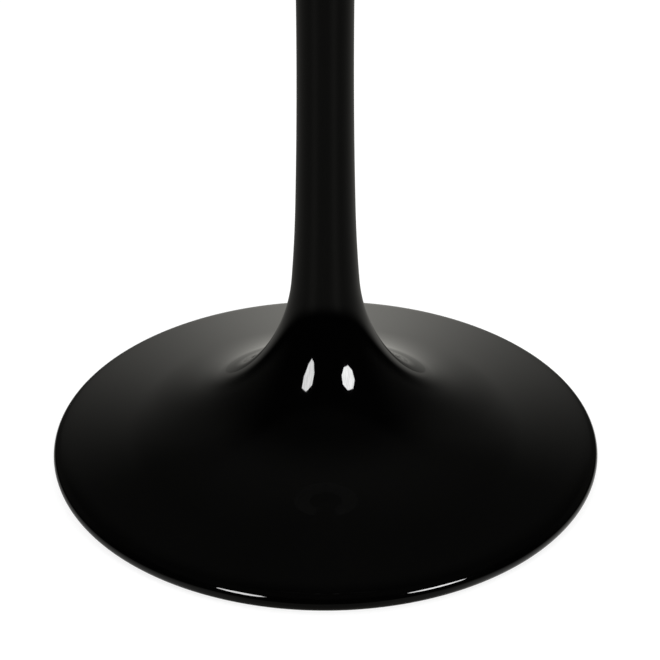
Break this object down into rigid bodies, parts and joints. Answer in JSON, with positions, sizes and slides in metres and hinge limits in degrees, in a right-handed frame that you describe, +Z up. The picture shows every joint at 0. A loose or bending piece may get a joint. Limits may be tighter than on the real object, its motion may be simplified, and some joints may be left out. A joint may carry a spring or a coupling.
{
  "type": "tulip table base",
  "caption": "Gloss black tulip table base: a round foot that flares through a trumpet curve into a slim stem, with a steel plate on top that takes a table top.",
  "frame": {"origin": "on the floor, under the centre of the foot", "axes": "+Z up along the stem's axis; +X and +Y level, with a floor glide on +X"},
  "size_m": [0.5199, 0.52, 0.71],
  "materials": {
    "lacquer": "gloss black lacquer on a casting",
    "plate_coat": "satin black coat on steel",
    "screw_steel": "zinc plated",
    "nylon": "moulded, matt"
  },
  "bodies": {
    "root": {"pedestal": "lacquer", "mounting_plate": "plate_coat", "plate_screws": "screw_steel", "floor_glides": "nylon"}
  },
  "joints": []
}
